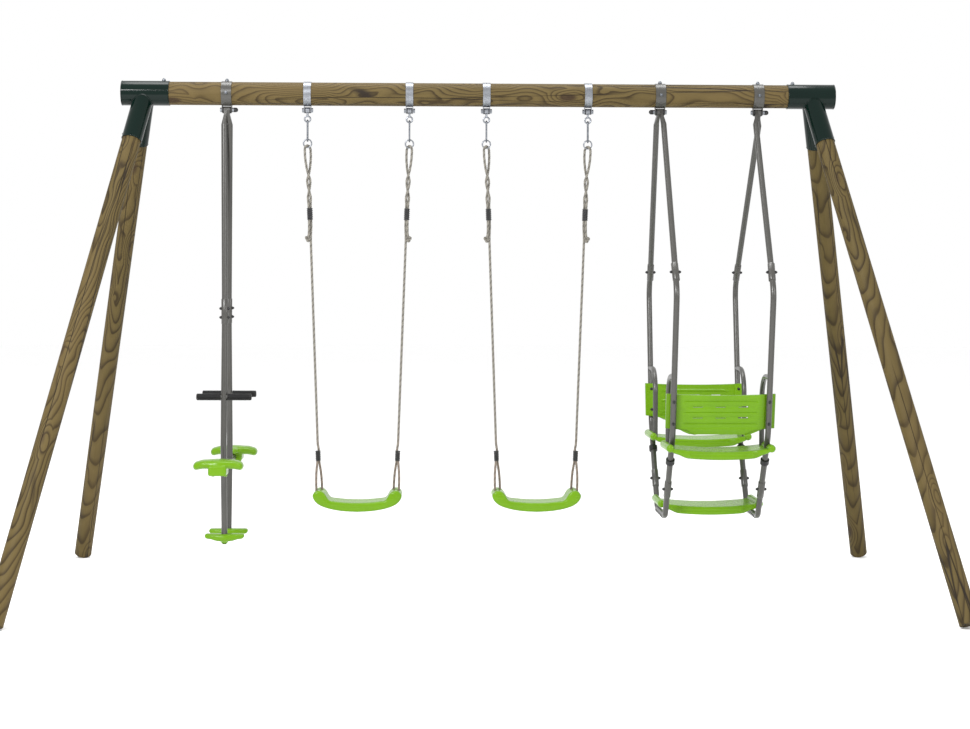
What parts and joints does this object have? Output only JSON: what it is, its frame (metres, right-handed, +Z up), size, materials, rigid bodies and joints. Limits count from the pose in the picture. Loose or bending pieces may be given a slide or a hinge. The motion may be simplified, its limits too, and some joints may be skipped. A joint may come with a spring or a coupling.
{
  "type": "garden swing set",
  "caption": "Free-standing garden swing set: a round timber beam on splayed legs carries rope swings, a two-seat glider and a face-to-face gondola swing.",
  "frame": {"origin": "on the ground, below the middle of the beam", "axes": "+X along the beam, to the right as seen from the front; -Y is the front, where the picture is taken from; +Z is up"},
  "size_m": [3.8386, 2.0546, 2.2093],
  "materials": {
    "timber": "turned, pressure-treated, matt",
    "green_paint": "dark green gloss",
    "zinc": "galvanised",
    "grey_paint": "mid grey satin powder coat",
    "black_plastic": "moulded, satin",
    "black_bolt": "black caps over steel bolts",
    "rubber": "matt",
    "lime_plastic": "blow-moulded, semi-gloss",
    "rope": "three-strand twisted rope"
  },
  "bodies": {
    "frame": {"beam": "timber", "corner_bracket_left": "green_paint", "corner_bracket_right": "green_paint", "leg_front_left": "timber", "leg_front_right": "timber", "leg_rear_left": "timber", "leg_rear_right": "timber", "bracket_screws": "zinc", "swing_straps": "zinc", "glider_strap": "grey_paint", "gondola_straps": "grey_paint", "pivot_bolts": "zinc", "pivot_bushes": "black_plastic", "strap_screws": "zinc", "pivot_caps": "black_plastic"},
    "swing_a": {"hooks_a": "zinc", "links_a": "zinc", "rings_a": "zinc", "rope_a_left": "rope", "rope_a_right": "rope", "adjusters_a": "black_plastic", "sleeves_a": "black_plastic", "swing_seat_a": "lime_plastic"},
    "swing_b": {"hooks_b": "zinc", "links_b": "zinc", "rings_b": "zinc", "rope_b_left": "rope", "rope_b_right": "rope", "adjusters_b": "black_plastic", "sleeves_b": "black_plastic", "swing_seat_b": "lime_plastic"},
    "glider": {"glider_upper_tube_front": "grey_paint", "glider_upper_tube_rear": "grey_paint", "glider_lower_tube_front": "grey_paint", "glider_lower_tube_rear": "grey_paint", "glider_seat_bar": "grey_paint", "glider_handlebars": "grey_paint", "glider_grips": "rubber", "glider_seat_front": "lime_plastic", "glider_seat_rear": "lime_plastic", "glider_footrest_front": "lime_plastic", "glider_footrest_rear": "lime_plastic", "glider_bolts": "black_bolt", "glider_end_caps": "black_plastic"},
    "gondola": {"gondola_upper_tubes_left": "grey_paint", "gondola_upper_tubes_right": "grey_paint", "gondola_side_tubes_left": "grey_paint", "gondola_side_tubes_right": "grey_paint", "gondola_bottom_tube_left": "grey_paint", "gondola_bottom_tube_right": "grey_paint", "gondola_armrests_left": "grey_paint", "gondola_armrests_right": "grey_paint", "gondola_backrest_front": "lime_plastic", "gondola_backrest_rear": "lime_plastic", "gondola_seat_front": "lime_plastic", "gondola_seat_rear": "lime_plastic", "gondola_platform": "lime_plastic", "gondola_bolts": "black_bolt", "gondola_collars": "black_plastic", "platform_clips": "black_plastic"}
  },
  "joints": [
    {"name": "swing_a_pivot", "type": "hinge", "parent": "frame", "child": "swing_a", "pos_m": [-0.523, 0, 2.074], "axis": [1, 0, 0], "range_deg": [-60, 60]},
    {"name": "swing_b_pivot", "type": "hinge", "parent": "frame", "child": "swing_b", "pos_m": [0.25, 0, 2.074], "axis": [1, 0, 0], "range_deg": [-60, 60]},
    {"name": "glider_pivot", "type": "hinge", "parent": "frame", "child": "glider", "pos_m": [-1.09, 0, 2.074], "axis": [1, 0, 0], "range_deg": [-45, 45]},
    {"name": "gondola_pivot", "type": "hinge", "parent": "frame", "child": "gondola", "pos_m": [0.996, 0, 2.074], "axis": [1, 0, 0], "range_deg": [-45, 45]}
  ]
}
